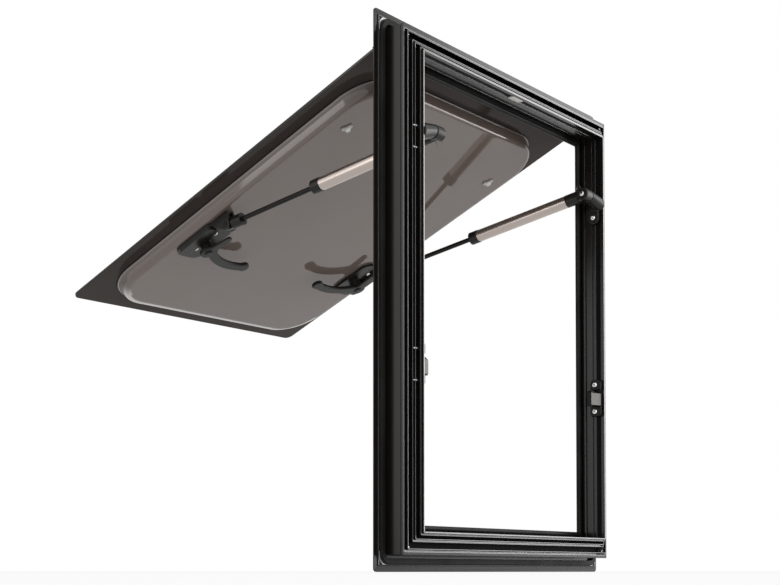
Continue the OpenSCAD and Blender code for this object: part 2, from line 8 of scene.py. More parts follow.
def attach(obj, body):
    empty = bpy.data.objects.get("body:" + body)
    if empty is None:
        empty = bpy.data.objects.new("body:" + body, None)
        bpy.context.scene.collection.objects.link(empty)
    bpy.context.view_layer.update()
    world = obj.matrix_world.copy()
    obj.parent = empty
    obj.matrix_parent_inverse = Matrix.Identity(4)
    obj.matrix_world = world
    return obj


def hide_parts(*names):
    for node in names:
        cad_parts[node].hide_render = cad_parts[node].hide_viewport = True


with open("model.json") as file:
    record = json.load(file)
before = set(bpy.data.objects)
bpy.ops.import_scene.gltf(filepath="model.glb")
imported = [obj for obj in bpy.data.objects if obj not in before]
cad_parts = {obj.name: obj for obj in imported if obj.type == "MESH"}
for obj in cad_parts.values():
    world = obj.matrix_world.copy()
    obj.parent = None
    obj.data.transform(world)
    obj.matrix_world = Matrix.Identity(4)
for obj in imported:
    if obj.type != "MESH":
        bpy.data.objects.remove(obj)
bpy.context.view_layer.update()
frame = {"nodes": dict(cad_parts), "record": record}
nodes = frame["nodes"]
bodyOf = {n: body for body, members in frame["record"]["behaviour"]["bodies"].items() for n in members}
mm = 0.001
print("stage: frame loaded")

# the photograph's camera, worked out from the corners of the frame and of the pane
photoView = {
    "width": 780,
    "focal": 1536,            # pixels
    "sensor": 36,
    "nearest": 0.05,
    "farthest": 60,
    "opticalCentre": 219.5,   # pixels below the picture's middle
    "yaw": 54.42,
    "pitch": 2.2,
    "place": (-1.519, -0.934, -0.0035),
}


def makeCamera():
    lensData = bpy.data.cameras.new("photoCamera")
    lensData.sensor_width = photoView["sensor"]
    lensData.lens = photoView["sensor"] * photoView["focal"] / photoView["width"]
    lensData.shift_y = photoView["opticalCentre"] / photoView["width"]
    lensData.clip_start = photoView["nearest"]
    lensData.clip_end = photoView["farthest"]
    camera = bpy.data.objects.new("photoCamera", lensData)
    bpy.context.scene.collection.objects.link(camera)
    camera.location = photoView["place"]
    camera.rotation_euler = (math.radians(90 + photoView["pitch"]), 0, math.radians(-photoView["yaw"]))
    bpy.context.scene.camera = camera


makeCamera()
print("stage: camera")

# studio: white floor and surroundings, three soft boxes
studio = {
    "fill": 0.5,              # strength of the surroundings on matt surfaces
    "keyPower": 13,
    "keyPlace": (-1.5, -1.9, 0.9),
    "keySize": (0.4, 1.7),
    "sidePower": 5,
    "sidePlace": (-1.9, 0.95, 0.7),
    "sideSize": (0.5, 1.5),
    "roomPower": 14,
    "roomPlace": (1.75, -1.1, 0.65),
    "roomSize": (0.75, 1.4),
    "lampAim": (0, 0.1, 0.3),
    "floorReach": 9,
    "floorHeight": -0.0047,
    "floorMatt": 0.9,
    "floorWhite": 0.86,       # how much of the floor's own white the camera sees
}


def seenDirectly(tree):
    # 1 for camera, glossy and transmission rays
    path = tree.nodes.new("ShaderNodeLightPath")
    first = tree.nodes.new("ShaderNodeMath")
    first.operation = "MAXIMUM"
    second = tree.nodes.new("ShaderNodeMath")
    second.operation = "MAXIMUM"
    tree.links.new(path.outputs["Is Camera Ray"], first.inputs[0])
    tree.links.new(path.outputs["Is Glossy Ray"], first.inputs[1])
    tree.links.new(first.outputs[0], second.inputs[0])
    tree.links.new(path.outputs["Is Transmission Ray"], second.inputs[1])
    return second.outputs[0]


def makeSurroundings():
    world = bpy.data.worlds.new("studioWhite")
    bpy.context.scene.world = world
    world.use_nodes = True
    tree = world.node_tree
    tree.nodes.clear()
    out = tree.nodes.new("ShaderNodeOutputWorld")
    mix = tree.nodes.new("ShaderNodeMixShader")
    soft = tree.nodes.new("ShaderNodeBackground")
    soft.inputs["Color"].default_value = (1, 1, 1, 1)
    soft.inputs["Strength"].default_value = studio["fill"]
    white = tree.nodes.new("ShaderNodeBackground")
    white.inputs["Color"].default_value = (1, 1, 1, 1)
    white.inputs["Strength"].default_value = 1
    tree.links.new(seenDirectly(tree), mix.inputs[0])
    tree.links.new(soft.outputs[0], mix.inputs[1])
    tree.links.new(white.outputs[0], mix.inputs[2])
    tree.links.new(mix.outputs[0], out.inputs["Surface"])


def makeFloor():
    edit = bmesh.new()
    bmesh.ops.create_grid(edit, x_segments=1, y_segments=1, size=studio["floorReach"])
    bmesh.ops.translate(edit, verts=edit.verts, vec=(0, 0, studio["floorHeight"]))
    mesh = bpy.data.meshes.new("studioFloor")
    edit.to_mesh(mesh)
    edit.free()
    floor = bpy.data.objects.new("studioFloor", mesh)
    bpy.context.scene.collection.objects.link(floor)
    material = bpy.data.materials.new("studioFloor")
    material.use_nodes = True
    tree = material.node_tree
    tree.nodes.clear()
    out = tree.nodes.new("ShaderNodeOutputMaterial")
    matt = tree.nodes.new("ShaderNodeBsdfDiffuse")
    matt.inputs["Color"].default_value = (*[studio["floorMatt"]] * 3, 1)
    glow = tree.nodes.new("ShaderNodeEmission")
    glow.inputs["Color"].default_value = (1, 1, 1, 1)
    glow.inputs["Strength"].default_value = 1
    share = tree.nodes.new("ShaderNodeMath")
    share.operation = "MULTIPLY"
    share.inputs[1].default_value = studio["floorWhite"]
    mix = tree.nodes.new("ShaderNodeMixShader")
    tree.links.new(seenDirectly(tree), share.inputs[0])
    tree.links.new(share.outputs[0], mix.inputs[0])
    tree.links.new(matt.outputs[0], mix.inputs[1])
    tree.links.new(glow.outputs[0], mix.inputs[2])
    tree.links.new(mix.outputs[0], out.inputs["Surface"])
    mesh.materials.append(material)


def softBox(name, place, power, size):
    lampData = bpy.data.lights.new(name, "AREA")
    lampData.energy = power
    lampData.shape = "RECTANGLE"
    lampData.size, lampData.size_y = size
    lamp = bpy.data.objects.new(name, lampData)
    bpy.context.scene.collection.objects.link(lamp)
    lamp.location = place
    lamp.rotation_euler = (Vector(studio["lampAim"]) - Vector(place)).to_track_quat("-Z", "Y").to_euler()


makeSurroundings()
makeFloor()
for box in ("key", "side", "room"):
    softBox(box + "Box", studio[box + "Place"], studio[box + "Power"], studio[box + "Size"])
print("stage: studio")


# shared surface effects
surfaceNoise = {
    "grainDetail": 3, "cloudScale": 22, "cloudDetail": 2, "lineDetail": 4,
    "dustDetail": 5, "dustFrom": 0.35, "dustTo": 0.75,
    "plainDust": (0.2, 0.2, 0.195), "plainDustScale": 14, "drawnDustScale": 11,
}


def startGroup(name, inputs, outputs):
    group = bpy.data.node_groups.new(name, "ShaderNodeTree")
    for label, kind, value in inputs:
        socket = group.interface.new_socket(name=label, in_out="INPUT", socket_type=kind)
        if value is not None:
            socket.default_value = value
    for label, kind in outputs:
        group.interface.new_socket(name=label, in_out="OUTPUT", socket_type=kind)
    return group, group.nodes.new("NodeGroupInput"), group.nodes.new("NodeGroupOutput")


def moulded():
    # fine moulded or coated surface: uneven gloss and a low grain
    group, inside, outside = startGroup(
        "mouldedSurface",
        [("Scale", "NodeSocketFloat", 900.0), ("Roughness", "NodeSocketFloat", 0.3),
         ("Spread", "NodeSocketFloat", 0.08)],
        [("Roughness", "NodeSocketFloat"), ("Height", "NodeSocketFloat")])
    place = group.nodes.new("ShaderNodeTexCoord")
    grain = group.nodes.new("ShaderNodeTexNoise")
    grain.inputs["Detail"].default_value = surfaceNoise["grainDetail"]
    cloud = group.nodes.new("ShaderNodeTexNoise")
    cloud.inputs["Scale"].default_value = surfaceNoise["cloudScale"]
    cloud.inputs["Detail"].default_value = surfaceNoise["cloudDetail"]
    shift = group.nodes.new("ShaderNodeMath")
    shift.operation = "SUBTRACT"
    shift.inputs[1].default_value = 0.5
    widen = group.nodes.new("ShaderNodeMath")
    widen.operation = "MULTIPLY_ADD"
    group.links.new(place.outputs["Object"], grain.inputs["Vector"])
    group.links.new(place.outputs["Object"], cloud.inputs["Vector"])
    group.links.new(inside.outputs["Scale"], grain.inputs["Scale"])
    group.links.new(cloud.outputs["Fac"], shift.inputs[0])
    group.links.new(shift.outputs[0], widen.inputs[0])
    group.links.new(inside.outputs["Spread"], widen.inputs[1])
    group.links.new(inside.outputs["Roughness"], widen.inputs[2])
    group.links.new(widen.outputs[0], outside.inputs["Roughness"])
    group.links.new(grain.outputs["Fac"], outside.inputs["Height"])
    return group


def drawn():
    # lines left by drawing or rolling, stretched by the Stretch vector
    group, inside, outside = startGroup(
        "drawnLines",
        [("Stretch", "NodeSocketVector", (1.0, 1.0, 1.0)), ("Roughness", "NodeSocketFloat", 0.3),
         ("Spread", "NodeSocketFloat", 0.1)],
        [("Roughness", "NodeSocketFloat"), ("Height", "NodeSocketFloat")])
    place = group.nodes.new("ShaderNodeTexCoord")
    turn = group.nodes.new("ShaderNodeVectorMath")
    turn.operation = "MULTIPLY"
    lines = group.nodes.new("ShaderNodeTexNoise")
    lines.inputs["Scale"].default_value = 1
    lines.inputs["Detail"].default_value = surfaceNoise["lineDetail"]
    shift = group.nodes.new("ShaderNodeMath")
    shift.operation = "SUBTRACT"
    shift.inputs[1].default_value = 0.5
    widen = group.nodes.new("ShaderNodeMath")
    widen.operation = "MULTIPLY_ADD"
    group.links.new(place.outputs["Object"], turn.inputs[0])
    group.links.new(inside.outputs["Stretch"], turn.inputs[1])
    group.links.new(turn.outputs[0], lines.inputs["Vector"])
    group.links.new(lines.outputs["Fac"], shift.inputs[0])
    group.links.new(shift.outputs[0], widen.inputs[0])
    group.links.new(inside.outputs["Spread"], widen.inputs[1])
    group.links.new(inside.outputs["Roughness"], widen.inputs[2])
    group.links.new(widen.outputs[0], outside.inputs["Roughness"])
    group.links.new(lines.outputs["Fac"], outside.inputs["Height"])
    return group


def dusted():
    # a thin uneven film over a colour
    group, inside, outside = startGroup(
        "dustFilm",
        [("Color", "NodeSocketColor", (0.05, 0.05, 0.05, 1)),
         ("Dust", "NodeSocketColor", (0.3, 0.29, 0.27, 1)),
         ("Amount", "NodeSocketFloat", 0.08), ("Scale", "NodeSocketFloat", 9.0)],
        [("Color", "NodeSocketColor")])
    place = group.nodes.new("ShaderNodeTexCoord")
    cloud = group.nodes.new("ShaderNodeTexNoise")
    cloud.inputs["Detail"].default_value = surfaceNoise["dustDetail"]
    ramp = group.nodes.new("ShaderNodeMapRange")
    ramp.inputs["From Min"].default_value = surfaceNoise["dustFrom"]
    ramp.inputs["From Max"].default_value = surfaceNoise["dustTo"]
    share = group.nodes.new("ShaderNodeMath")
    share.operation = "MULTIPLY"
    mix = group.nodes.new("ShaderNodeMix")
    mix.data_type = "RGBA"
    group.links.new(place.outputs["Object"], cloud.inputs["Vector"])
    group.links.new(inside.outputs["Scale"], cloud.inputs["Scale"])
    group.links.new(cloud.outputs["Fac"], ramp.inputs["Value"])
    group.links.new(ramp.outputs[0], share.inputs[0])
    group.links.new(inside.outputs["Amount"], share.inputs[1])
    group.links.new(share.outputs[0], mix.inputs["Factor"])
    group.links.new(inside.outputs["Color"], mix.inputs["A"])
    group.links.new(inside.outputs["Dust"], mix.inputs["B"])
    group.links.new(mix.outputs["Result"], outside.inputs["Color"])
    return group


mouldedSurface = moulded()
drawnLines = drawn()
dustFilm = dusted()


def startMaterial(name, color, metallic=0.0, ior=1.5):
    material = bpy.data.materials.new(name)
    material.use_nodes = True
    shader = material.node_tree.nodes["Principled BSDF"]
    shader.inputs["Base Color"].default_value = (*color, 1)
    shader.inputs["Metallic"].default_value = metallic
    shader.inputs["IOR"].default_value = ior
    return material, material.node_tree, shader


def addBump(tree, shader, height, depth):
    bump = tree.nodes.new("ShaderNodeBump")
    bump.inputs["Strength"].default_value = 1
    bump.inputs["Distance"].default_value = depth
    tree.links.new(height, bump.inputs["Height"])
    tree.links.new(bump.outputs["Normal"], shader.inputs["Normal"])


def addDust(tree, shader, color, dust, amount, scale):
    film = tree.nodes.new("ShaderNodeGroup")
    film.node_tree = dustFilm
    film.inputs["Color"].default_value = (*color, 1)
    film.inputs["Dust"].default_value = (*dust, 1)
    film.inputs["Amount"].default_value = amount
    film.inputs["Scale"].default_value = scale
    tree.links.new(film.outputs["Color"], shader.inputs["Base Color"])


def mouldedMaterial(name, color, roughness, spread, scale, depth, dust=0.05, ior=1.5):
    material, tree, shader = startMaterial(name, color, 0.0, ior)
    surface = tree.nodes.new("ShaderNodeGroup")
    surface.node_tree = mouldedSurface
    surface.inputs["Scale"].default_value = scale
    surface.inputs["Roughness"].default_value = roughness
    surface.inputs["Spread"].default_value = spread
    tree.links.new(surface.outputs["Roughness"], shader.inputs["Roughness"])
    addBump(tree, shader, surface.outputs["Height"], depth)
    addDust(tree, shader, color, surfaceNoise["plainDust"], dust, surfaceNoise["plainDustScale"])
    return material


def drawnMaterial(name, color, roughness, spread, stretch, depth, metallic, dust=0.04, ior=1.5):
    material, tree, shader = startMaterial(name, color, metallic, ior)
    surface = tree.nodes.new("ShaderNodeGroup")
    surface.node_tree = drawnLines
    surface.inputs["Stretch"].default_value = stretch
    surface.inputs["Roughness"].default_value = roughness
    surface.inputs["Spread"].default_value = spread
    tree.links.new(surface.outputs["Roughness"], shader.inputs["Roughness"])
    addBump(tree, shader, surface.outputs["Height"], depth)
    paler = [min(1, c * 1.6 + 0.01) for c in color]
    addDust(tree, shader, color, paler, dust, surfaceNoise["drawnDustScale"])
    return material


def paintRimHighlight(material, color):
    # lets the rim attribute of a mesh lighten the colour: a painted highlight
    tree = material.node_tree
    shader = tree.nodes["Principled BSDF"]
    under = shader.inputs["Base Color"].links[0].from_socket
    rim = tree.nodes.new("ShaderNodeAttribute")
    rim.attribute_name = "rim"
    mix = tree.nodes.new("ShaderNodeMix")
    mix.data_type = "RGBA"
    mix.inputs["B"].default_value = (*color, 1)
    tree.links.new(rim.outputs["Fac"], mix.inputs["Factor"])
    tree.links.new(under, mix.inputs["A"])
    tree.links.new(mix.outputs["Result"], shader.inputs["Base Color"])
    return material


frameBlack = (0.009, 0.0076, 0.0067)
upright = (1500, 1500, 9)    # drawing lines along Z, for a bar's stretch
level = (9, 1500, 1500)
alongStay = (1800, 30, 30)


def frameMaterial(name, stretch, ior):
    return drawnMaterial(name, frameBlack, 0.2, 0.08, stretch, 3e-6, 0.0, 0.03, ior)


def acrylicMaterial(name, color, roughness, dust, ior):
    return mouldedMaterial(name, color, roughness, 0.03, 60, 1e-7, dust, ior)


finishes = {
    "frameUpright": frameMaterial("frameUpright", upright, 1.3),
    "frameLevel": frameMaterial("frameLevel", level, 1.3),
    "flangeLevelShaded": frameMaterial("flangeLevelShaded", level, 1.23),   # less reflective copy for the flange's lower bar: painted shade
    # more reflective copies of the frame black for the narrow lips that face the room: painted highlight
    "lipLevel": frameMaterial("lipLevel", level, 1.85),
    "lipUpright": frameMaterial("lipUpright", upright, 2.3),
    # moulded: colour, roughness, its spread, grain scale, grain depth, dust, IOR
    # darker, matter copy of the frame black for groove and channel floors: painted shade in the recesses
    "frameShadedFloor": mouldedMaterial("frameShadedFloor", (0.003, 0.003, 0.003), 0.6, 0.1, 1400, 4e-6, 0.02, 1.14),
    "sealRubber": mouldedMaterial(
        "sealRubber", (0.007, 0.0064, 0.006), 0.5, 0.15, 1400, 1.2e-5, 0.08, 1.22),
    "mouldedBlack": mouldedMaterial(
        "mouldedBlack", (0.0085, 0.0072, 0.0062), 0.3, 0.08, 1600, 7e-6, 0.04, 1.34),
    "catchBlack": mouldedMaterial(
        "catchBlack", (0.004, 0.0037, 0.0035), 0.34, 0.08, 1600, 7e-6, 0.03, 1.2),
    "leverBlack": mouldedMaterial(
        "leverBlack", (0.0085, 0.0067, 0.0052), 0.36, 0.08, 1300, 6e-6, 0.04, 1.3),
    "outerAcrylic": acrylicMaterial("outerAcrylic", (0.014, 0.0112, 0.0098), 0.04, 0.05, 1.42),
    # a lighter, less reflective copy of the outer pane's acrylic for its room-side faces: painted light
    # through the tinted pane
    "outerInsideLit": acrylicMaterial("outerInsideLit", (0.050, 0.0395, 0.0345), 0.06, 0.05, 1.13),
    # the inner panel's edges are lightened by its rim attribute: painted highlight
    "innerAcrylic": paintRimHighlight(
        acrylicMaterial("innerAcrylic", (0.172, 0.135, 0.117), 0.045, 0.10, 1.5), (0.72, 0.69, 0.66)),
    "plugNylon": mouldedMaterial("plugNylon", (0.5, 0.49, 0.46), 0.35, 0.1, 1200, 6e-6, 0.05),
    "plugWhite": mouldedMaterial("plugWhite", (0.78, 0.77, 0.74), 0.3, 0.1, 1200, 4e-6, 0.04),
    "clipGrey": mouldedMaterial("clipGrey", (0.66, 0.645, 0.62), 0.4, 0.1, 1000, 6e-6, 0.05),
    # drawn: colour, roughness, its spread, stretch, line depth, metallic, dust, IOR
    "railDark": drawnMaterial("railDark", (0.008, 0.008, 0.0082), 0.26, 0.12, level, 5e-6, 0.0, 0.04, 1.33),
    "stayAlloy": drawnMaterial("stayAlloy", (0.46, 0.40, 0.368), 0.26, 0.12, alongStay, 3e-6, 1.0),
    "rodBlack": drawnMaterial(
        "rodBlack", (0.009, 0.007, 0.0058), 0.28, 0.1, alongStay, 3e-6, 0.0, 0.04, 1.27),
    "zincSteel": drawnMaterial("zincSteel", (0.78, 0.78, 0.77), 0.16, 0.1, (700, 700, 700), 4e-6, 1.0),
    "wearSteel": drawnMaterial("wearSteel", (0.2, 0.196, 0.188), 0.36, 0.15, (60, 60, 2200), 6e-6, 1.0),
    "cleatAlloy": drawnMaterial("cleatAlloy", (0.5, 0.5, 0.5), 0.38, 0.15, (900, 60, 60), 6e-6, 1.0),
}
print("stage: finishes")

cleaning = {"mergeDistance": 1e-6, "flatAngle": 0.6, "sharpAngle": 34}   # metres and degrees


def cleanCopy(nodeName):
    # a merged copy of a CAD node's mesh, with flat faces joined
    edit = bmesh.new()
    edit.from_mesh(nodes[nodeName].data)
    bmesh.ops.remove_doubles(edit, verts=edit.verts, dist=cleaning["mergeDistance"])
    bmesh.ops.dissolve_limit(
        edit, angle_limit=math.radians(cleaning["flatAngle"]), use_dissolve_boundaries=False,
        verts=edit.verts, edges=edit.edges, delimit=set())
    return edit


def evenShading(piece):
    shading = piece.modifiers.new("evenShading", "WEIGHTED_NORMAL")
    shading.keep_sharp = False


def ringEdges(edit, rings):
    # the edges of each ring of vertices
    return [[e for e in edit.edges if e.verts[0] in ring and e.verts[1] in ring] for ring in rings]


def bridgeAll(edit, loops):
    for first, second in zip(loops, loops[1:]):
        bmesh.ops.bridge_loops(edit, edges=first + second)


def easeEdges(edit, offset):
    bmesh.ops.bevel(edit, geom=edit.edges[:], offset=offset, offset_type="OFFSET", segments=2,
                    profile=0.5, affect="EDGES", material=-1, clamp_overlap=True)


def finishPiece(edit, name, nodeNames, finish, body=None, smooth=True):
    mesh = bpy.data.meshes.new(name)
    edit.normal_update()
    edit.to_mesh(mesh)
    edit.free()
    for face in mesh.polygons:
        face.use_smooth = smooth
    piece = bpy.data.objects.new(name, mesh)
    bpy.context.scene.collection.objects.link(piece)
    mesh.materials.append(finishes[finish])
    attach(piece, body or bodyOf[nodeNames[0]])
    if nodeNames:
        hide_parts(*nodeNames)
    return piece


# where the sash stands, in metres
sash = {"hingeY": 0.007, "hingeZ": 0.5655, "angle": 64.8, "paneInside": -0.0045}
sides = (("Left", -1), ("Right", 1))
sashPlace = Matrix.Translation((0, sash["hingeY"], sash["hingeZ"])) @ Matrix.Rotation(
    math.radians(sash["angle"]), 4, "X")

barFaces = {
    # mm; depths are from a bar's inner face
    "grooveDepth": 0.8, "grooveSlack": 0.15, "channelIn": 1.7, "channelY": -23.5, "lipWidth": 2.2,
    "facing": 0.95, "sideFacing": 0.9,
}


def shareFinishes(edit, nodeName):
    # second finish, a darker copy of the frame black that paints shade, for the floors of a bar's grooves and
    # channel; third, a more reflective copy that paints highlight, for its narrow lips
    openingSide = {"left": (0, 1), "right": (0, -1), "bottom": (2, 1), "top": (2, -1)}
    axis, facing = openingSide[nodeName.split("_")[-1]]
    inner = max(vert.co[axis] * facing for vert in edit.verts)
    for face in edit.faces:
        long = max(edge.calc_length() for edge in face.edges)
        if face.normal.y < -barFaces["facing"] and face.calc_area() < barFaces["lipWidth"] * mm * long:
            face.material_index = 2
            continue
        if not nodeName.startswith("inner_frame"):
            continue
        middle = face.calc_center_median()
        depth = (inner - middle[axis] * facing) / mm
        atFloor = abs(depth - barFaces["grooveDepth"]) < barFaces["grooveSlack"]
        inGroove = atFloor and abs(face.normal[axis]) > barFaces["sideFacing"]
        inChannel = depth > barFaces["channelIn"] and middle.y / mm > barFaces["channelY"]
        if inGroove or inChannel:
            face.material_index = 1


def softEdges(nodeName, finish, radius, steps):
    # the CAD shape with its arrises rounded
    edit = cleanCopy(nodeName)
    isBar = "frame_" in nodeName and nodeName != "frame_seal"
    if isBar:
        edit.normal_update()
        shareFinishes(edit, nodeName)
    sharp = [edge for edge in edit.edges if len(edge.link_faces) == 2
             and edge.calc_face_angle(0) > math.radians(cleaning["sharpAngle"])]
    bmesh.ops.bevel(
        edit, geom=sharp, offset=radius, offset_type="OFFSET", segments=steps, profile=0.5,
        affect="EDGES", material=-1, clamp_overlap=False, loop_slide=True)
    piece = finishPiece(edit, nodeName + "Dressed", [nodeName], finish)
    if nodeName == "outer_pane":
        # the outer pane's room-side faces get the lighter copy: painted light
        piece.data.materials.append(finishes["outerInsideLit"])
        inward = sashPlace.to_3x3() @ Vector((0, -1, 0))
        for face in piece.data.polygons:
            if face.normal.dot(inward) > barFaces["sideFacing"]:
                face.material_index = 1
    if isBar:
        piece.data.materials.append(finishes["frameShadedFloor"])
        piece.data.materials.append(finishes[finish.replace("frame", "lip")])
    evenShading(piece)


edgeRadii = {
    # node: (finish, radius in mm)
    "outer_frame_bottom": ("flangeLevelShaded", 0.25), "outer_frame_top": ("frameLevel", 0.25),
    "outer_frame_left": ("frameUpright", 0.25), "outer_frame_right": ("frameUpright", 0.25),
    "inner_frame_bottom": ("frameLevel", 0.3), "inner_frame_top": ("frameLevel", 0.3),
    "inner_frame_left": ("frameUpright", 0.3), "inner_frame_right": ("frameUpright", 0.3),
    "wall_gasket": ("sealRubber", 0.5), "corner_cleats": ("cleatAlloy", 0.15),
    "hinge_rail": ("railDark", 0.3), "hinge_strip": ("railDark", 0.3), "rail_clip": ("clipGrey", 0.4),
    "catch_left": ("catchBlack", 0.5), "catch_right": ("catchBlack", 0.5),
    "stay_bracket_left": ("mouldedBlack", 0.8), "stay_bracket_right": ("mouldedBlack", 0.8),
    "outer_pane": ("outerAcrylic", 0.6), "vent_plugs": ("plugNylon", 0.5),
    "latch_base_left": ("mouldedBlack", 0.6), "latch_base_right": ("mouldedBlack", 0.6),
    "lever_pin_left": ("leverBlack", 0.4), "lever_pin_right": ("leverBlack", 0.4),
    "lever_left": ("leverBlack", 1.5), "lever_right": ("leverBlack", 1.5),
    "rod_end_left": ("mouldedBlack", 0.5), "rod_end_right": ("mouldedBlack", 0.5),
    "stay_cap_left": ("mouldedBlack", 0.6), "stay_cap_right": ("mouldedBlack", 0.6),
    "stay_knuckle_left": ("mouldedBlack", 1.4), "stay_knuckle_right": ("mouldedBlack", 1.4),
}
for nodeName, (finish, radius) in edgeRadii.items():
    softEdges(nodeName, finish, radius * mm, 4 if radius > 1 else 2)
print("stage: dressed parts")

keptNodes = {
    "frame_seal": "sealRubber",
    "stay_tube_left": "stayAlloy", "stay_tube_right": "stayAlloy",
    "stay_rod_left": "rodBlack", "stay_rod_right": "rodBlack",
    "stay_pin_left": "rodBlack", "stay_pin_right": "rodBlack",
}
for nodeName, finish in keptNodes.items():
    nodes[nodeName].material_slots[0].material = finishes[finish]
print("stage: plain parts")

innerPanel = {
    "width": 368, "top": -42, "bottom": -507, "cornerRadius": 55, "depth": 16,
    "slope": 3.1,             # how far the side leans in over its height
    "footEase": 1.1,          # the lower end leans in this much more
    "footRadius": 1.6,
    "footRise": 1,
    "rollRadius": 5.5,
    "lip": 0.5,               # flat rim round the foot
    "lipRise": (0.15, 0.95),
    "turnSteps": 7,
    "cornerSteps": 18,
    "thickness": 0.9,
    "flatRings": (0.8, 1.6),
    # the next values set where the panel's edges get a painted highlight and its side walls painted light
    "rimPaintedHighlight": 0.95,
    "rimReach": 5.6,
    "wallPaintedLight": 0.2,
    "rimAim": (0.45, -0.9),   # the painted highlight is on the edge facing the panel's right and lower end
    "rimFade": 2.2,
    "topReach": 122,          # half length of the painted highlight at the hinge end
    "topRise": 3,
    "topInset": 1.2,
    "topFacing": 0.8,
    "flatCorners": 30,        # a face with more corners than this is the panel's flat
    # profile of the dark ring round the panel's foot, which paints the shade in the gap there
    "bead": [(-2.6, 0.05), (-2.3, 0.6), (-1.2, 0.9), (-0.2, 0.9), (0.1, 0.4), (0.1, 0.05)],
}


def panelProfile():
    # distance in from the foot and height above the outer pane, in mm
    spec = innerPanel
    lean = math.atan2(spec["depth"], spec["slope"])
    points = [(-spec["lip"], rise) for rise in spec["lipRise"]]
    foot = spec["footRadius"]
    reach = foot * math.tan(lean / 2)
    for step in range(spec["turnSteps"] + 1):
        turn = lean * step / spec["turnSteps"]
        points.append((-reach + foot * math.sin(turn), spec["footRise"] + foot * (1 - math.cos(turn))))
    roll = spec["rollRadius"]
    top = (spec["depth"] - spec["footRise"]) / math.tan(lean) + roll * math.tan(lean / 2)
    for step in range(spec["turnSteps"] + 1):
        turn = lean * (1 - step / spec["turnSteps"])
        points.append((top - roll * math.sin(turn), spec["depth"] - roll * (1 - math.cos(turn))))
    return points


def panelRings(edit, points):
    # one rounded outline for each point of a profile; returns the edges of each
    spec = innerPanel
    count = 4 * spec["cornerSteps"]
    loops = []
    for inset, rise in points:
        radius = spec["cornerRadius"] - inset
        bottom = spec["bottom"] + spec["footEase"] * max(inset, 0)
        ring = bmesh.ops.create_circle(
            edit, cap_ends=False, segments=count, radius=radius * mm,
            matrix=Matrix.Rotation(math.pi / count, 4, "Z"))["verts"]
        reachX = spec["width"] / 2 - spec["cornerRadius"]
        reachZ = (spec["top"] - bottom) / 2 - spec["cornerRadius"]
        for vert in ring:
            vert.co.x += math.copysign(reachX * mm, vert.co.x)
            vert.co.y += math.copysign(reachZ * mm, vert.co.y)
        bmesh.ops.transform(edit, verts=ring, matrix=Matrix.Translation(
            (0, sash["paneInside"] - rise * mm, (spec["top"] + bottom) / 2 * mm))
            @ Matrix.Rotation(math.pi / 2, 4, "X"))
        loops.append(set(ring))
    return ringEdges(edit, loops)


def rimHighlightShare(x, z, rise):
    # how much painted highlight the moulded edge gets at a point of the panel, in mm from the hinge
    spec = innerPanel
    middle = (spec["top"] + spec["bottom"]) / 2
    reach = (abs(x) - spec["width"] / 2 + spec["cornerRadius"],
             abs(z - middle) - (spec["top"] - spec["bottom"]) / 2 + spec["cornerRadius"])
    beyond = (max(reach[0], 0), max(reach[1], 0))
    inset = spec["cornerRadius"] - math.hypot(*beyond) - min(max(reach), 0)
    length = max(math.hypot(*beyond), 1e-6)
    if z > middle and beyond[1] > spec["topFacing"] * length:
        atFoot = rise < spec["topRise"] and inset < spec["topInset"]
        return spec["rimPaintedHighlight"] if atFoot and abs(x) < spec["topReach"] else 0.0
    if rise < spec["depth"] - spec["rollRadius"]:
        return spec["wallPaintedLight"]
    easedReach = spec["rimReach"] * (1 + spec["footEase"])
    if inset > (easedReach if z < middle and reach[1] > 0 else spec["rimReach"]):
        return 0.0
    aim = (math.copysign(beyond[0], x) * spec["rimAim"][0]
           + math.copysign(beyond[1], z - middle) * spec["rimAim"][1]) / length
    return spec["rimPaintedHighlight"] * min(max(aim * spec["rimFade"], 0), 1)


def makeInnerPanel():
    spec = innerPanel
    edit = bmesh.new()
    loops = panelRings(edit, panelProfile())
    bridgeAll(edit, loops)
    bmesh.ops.edgeloop_fill(edit, edges=loops[-1])
    bmesh.ops.recalc_face_normals(edit, faces=edit.faces)
    if sum(face.calc_area() * face.normal.y for face in edit.faces) > 0:
        bmesh.ops.reverse_faces(edit, faces=edit.faces)
    bmesh.ops.solidify(edit, geom=list(edit.faces), thickness=spec["thickness"] * mm)
    bmesh.ops.recalc_face_normals(edit, faces=edit.faces)
    flats = [face for face in edit.faces if len(face.verts) > spec["flatCorners"]]
    front = min(flats, key=lambda face: face.calc_center_median().y)
    for width in spec["flatRings"]:
        bmesh.ops.inset_region(edit, faces=[front], thickness=width * mm, depth=0, use_even_offset=True)
    core = {vert for face in edit.faces if len(face.verts) > spec["flatCorners"] for vert in face.verts}
    # painted highlight for each vertex: lighter on the edges and side walls, none on the flat face
    rimHighlightShares = []
    for vert in edit.verts:
        rise = (sash["paneInside"] - vert.co.y) / mm
        rimHighlightShares.append(0.0 if vert in core else rimHighlightShare(vert.co.x / mm, vert.co.z / mm, rise))
    bmesh.ops.transform(edit, verts=edit.verts, matrix=sashPlace)
    piece = finishPiece(edit, "innerPanel", ["inner_pane"], "innerAcrylic")
    rim = piece.data.attributes.new("rim", "FLOAT", "POINT")
    rim.data.foreach_set("value", rimHighlightShares)
    evenShading(piece)


def makePanelFootShade():
    # dark ring round the panel's foot, standing in for the shade in the gap there: painted shade
    edit = bmesh.new()
    loops = panelRings(edit, innerPanel["bead"])
    bridgeAll(edit, loops + loops[:1])
    bmesh.ops.recalc_face_normals(edit, faces=edit.faces)
    bmesh.ops.transform(edit, verts=edit.verts, matrix=sashPlace)
    finishPiece(edit, "panelFootShade", [], "sealRubber", "sash")


makeInnerPanel()
makePanelFootShade()
print("stage: inner panel")

